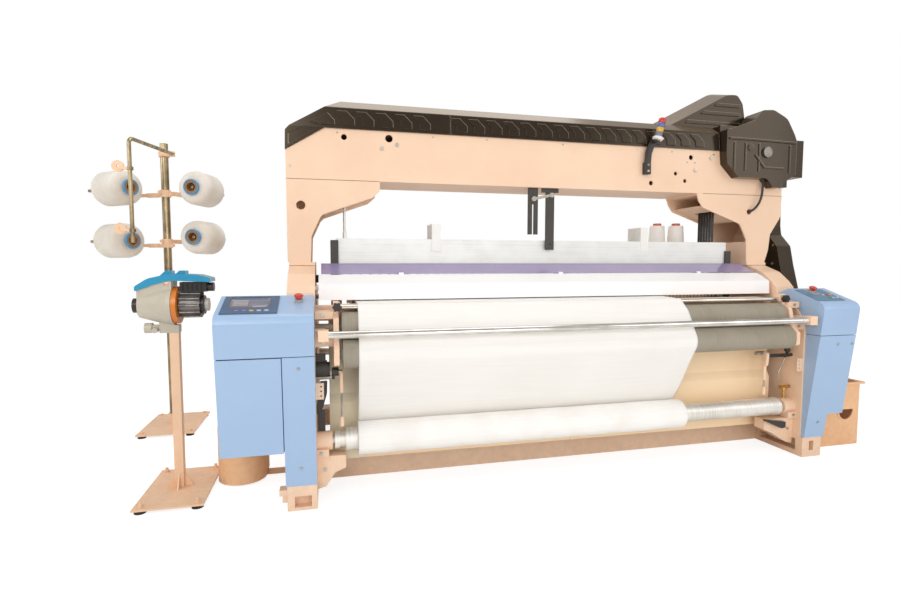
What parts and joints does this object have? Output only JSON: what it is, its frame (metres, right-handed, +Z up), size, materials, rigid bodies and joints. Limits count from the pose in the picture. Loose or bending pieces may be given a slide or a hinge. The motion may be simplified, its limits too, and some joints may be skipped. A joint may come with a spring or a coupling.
{
  "type": "power loom",
  "caption": "Water-jet power loom with an overhead dobby gantry, cloth rollers, heald frames, reed and warp beam, with its weft package creel and weft feeder stand.",
  "frame": {"origin": "on the floor, under the centre of the overall box of the loom with its creel, feeder stand, tub and bin", "axes": "+X along the weaving width to the right as seen from the front, +Y from the front (cloth side) to the back (warp side), +Z up"},
  "size_m": [4.6811, 1.8008, 2.225],
  "materials": {
    "peach_paint": "smooth",
    "blue_paint": "smooth",
    "black_cover": "glossy",
    "lamp_tower": "glossy",
    "panel_plastic": "satin",
    "red_plastic": "glossy",
    "white_sheet": "smooth",
    "violet_window": "translucent",
    "ground_steel": "ground",
    "roller_rubber": "matte",
    "light_metal": "satin",
    "white_yarn": "woven",
    "black_metal": "satin",
    "black_plastic": "satin",
    "brass": "turned",
    "zinc_steel": "plated",
    "feeder_grey": "satin",
    "feeder_cyan": "glossy",
    "feeder_dark": "satin",
    "feeder_orange": "satin"
  },
  "bodies": {
    "loom": {"left_side_frame": "peach_paint", "right_side_frame": "peach_paint", "cross_beams": "peach_paint", "gantry_beam": "peach_paint", "gantry_leg_left": "peach_paint", "gantry_leg_right": "peach_paint", "breast_beam": "peach_paint", "waste_tub": "peach_paint", "waste_bin": "peach_paint", "creel_base": "peach_paint", "feeder_stand": "peach_paint", "left_hood": "blue_paint", "cabinet_box": "blue_paint", "column_cover": "blue_paint", "right_hood": "blue_paint", "right_cover": "blue_paint", "ridge_cover": "black_cover", "rear_hood": "black_cover", "dobby_housing": "black_cover", "drive_cover": "black_cover", "signal_tower": "lamp_tower", "control_panels": "panel_plastic", "splash_cover": "white_sheet", "front_rails": "ground_steel", "press_linkage": "ground_steel", "bolts": "ground_steel", "hose": "ground_steel", "water_pump": "ground_steel", "cloth": "white_yarn", "warp_sheet": "white_yarn", "yarn_packages": "white_yarn", "drive_motors": "black_metal", "frame_guides": "black_plastic", "creel_post": "zinc_steel", "creel_guide_rod": "zinc_steel", "feeder_housing": "feeder_grey", "feeder_cover": "feeder_cyan", "feeder_drum": "feeder_dark"},
    "take_up_roller": {"take_up_roller": "roller_rubber"},
    "press_roller": {"press_roller": "roller_rubber"},
    "cloth_roller": {"cloth_roller": "light_metal", "cloth_roll": "white_yarn"},
    "sley": {"sley": "light_metal", "reed": "ground_steel"},
    "warp_beam": {"warp_beam": "white_yarn"},
    "back_rest_roller": {"back_rest_roller": "ground_steel"},
    "winding_ring": {"winding_ring": "feeder_orange"},
    "cabinet_door": {"cabinet_door": "blue_paint"},
    "window_flap": {"window_flap": "violet_window"},
    "stop_button_left": {"stop_button_left": "red_plastic"},
    "stop_button_right": {"stop_button_right": "red_plastic"},
    "star_knob_left": {"star_knob_left": "black_plastic"},
    "star_knob_right": {"star_knob_right": "black_plastic"},
    "t_handle": {"t_handle": "brass"},
    "heald_frame_1": {"heald_frame_1": "light_metal"},
    "heald_frame_2": {"heald_frame_2": "light_metal"},
    "heald_frame_3": {"heald_frame_3": "light_metal"},
    "heald_frame_4": {"heald_frame_4": "light_metal"},
    "heald_frame_5": {"heald_frame_5": "light_metal"},
    "heald_frame_6": {"heald_frame_6": "light_metal"}
  },
  "joints": [
    {"name": "take_up_spin", "type": "hinge", "parent": "loom", "child": "take_up_roller", "pos_m": [0.445, -0.716, 0.806], "axis": [1, 0, 0], "continuous": true},
    {"name": "press_spin", "type": "hinge", "parent": "loom", "child": "press_roller", "pos_m": [0.445, -0.79208, 0.69279], "axis": [1, 0, 0], "continuous": true},
    {"name": "cloth_roller_spin", "type": "hinge", "parent": "loom", "child": "cloth_roller", "pos_m": [0.445, -0.71, 0.278], "axis": [1, 0, 0], "continuous": true},
    {"name": "warp_beam_spin", "type": "hinge", "parent": "loom", "child": "warp_beam", "pos_m": [0.445, 0.52, 0.5], "axis": [1, 0, 0], "continuous": true},
    {"name": "back_rest_spin", "type": "hinge", "parent": "loom", "child": "back_rest_roller", "pos_m": [0.445, 0.39, 0.893], "axis": [1, 0, 0], "continuous": true},
    {"name": "winding_ring_spin", "type": "hinge", "parent": "loom", "child": "winding_ring", "pos_m": [-1.522, -0.46, 0.905], "axis": [1, 0, 0], "continuous": true},
    {"name": "sley_swing", "type": "hinge", "parent": "loom", "child": "sley", "pos_m": [0.445, -0.46, 0.56], "axis": [1, 0, 0], "range_deg": [0, 14]},
    {"name": "door_swing", "type": "hinge", "parent": "loom", "child": "cabinet_door", "pos_m": [-1.291, -0.806, 0.48], "axis": [0, 0, -1], "range_deg": [0, 110]},
    {"name": "flap_swing", "type": "hinge", "parent": "loom", "child": "window_flap", "pos_m": [0.445, -0.456, 1.048], "axis": [1, 0, 0], "range_deg": [0, 100]},
    {"name": "star_left_turn", "type": "hinge", "parent": "loom", "child": "star_knob_left", "pos_m": [-0.791, -0.75, 0.903], "axis": [0, 1, 0], "range_deg": [0, 360]},
    {"name": "star_right_turn", "type": "hinge", "parent": "loom", "child": "star_knob_right", "pos_m": [1.681, -0.75, 0.903], "axis": [0, 1, 0], "range_deg": [0, 360]},
    {"name": "t_handle_turn", "type": "hinge", "parent": "loom", "child": "t_handle", "pos_m": [1.741, -0.71, 0.34], "axis": [0, 0, 1], "range_deg": [0, 360]},
    {"name": "stop_left_press", "type": "slide", "parent": "loom", "child": "stop_button_left", "axis": [0, 0.3256, -0.9455], "range_m": [0, 0.005], "stiffness_N_per_m": 800, "springref_m": -0.002},
    {"name": "stop_right_press", "type": "slide", "parent": "loom", "child": "stop_button_right", "axis": [0, 0.3256, -0.9455], "range_m": [0, 0.005], "stiffness_N_per_m": 800, "springref_m": -0.002},
    {"name": "heald_1_lift", "type": "slide", "parent": "loom", "child": "heald_frame_1", "axis": [0, 0, 1], "range_m": [-0.045, 0.045]},
    {"name": "heald_2_lift", "type": "slide", "parent": "loom", "child": "heald_frame_2", "axis": [0, 0, 1], "range_m": [-0.045, 0.045]},
    {"name": "heald_3_lift", "type": "slide", "parent": "loom", "child": "heald_frame_3", "axis": [0, 0, 1], "range_m": [-0.045, 0.045]},
    {"name": "heald_4_lift", "type": "slide", "parent": "loom", "child": "heald_frame_4", "axis": [0, 0, 1], "range_m": [-0.045, 0.045]},
    {"name": "heald_5_lift", "type": "slide", "parent": "loom", "child": "heald_frame_5", "axis": [0, 0, 1], "range_m": [-0.045, 0.045]},
    {"name": "heald_6_lift", "type": "slide", "parent": "loom", "child": "heald_frame_6", "axis": [0, 0, 1], "range_m": [-0.045, 0.045]}
  ],
  "couplings": [
    {"joint": "press_spin", "follows": "take_up_spin", "ratio": -1.125}
  ]
}
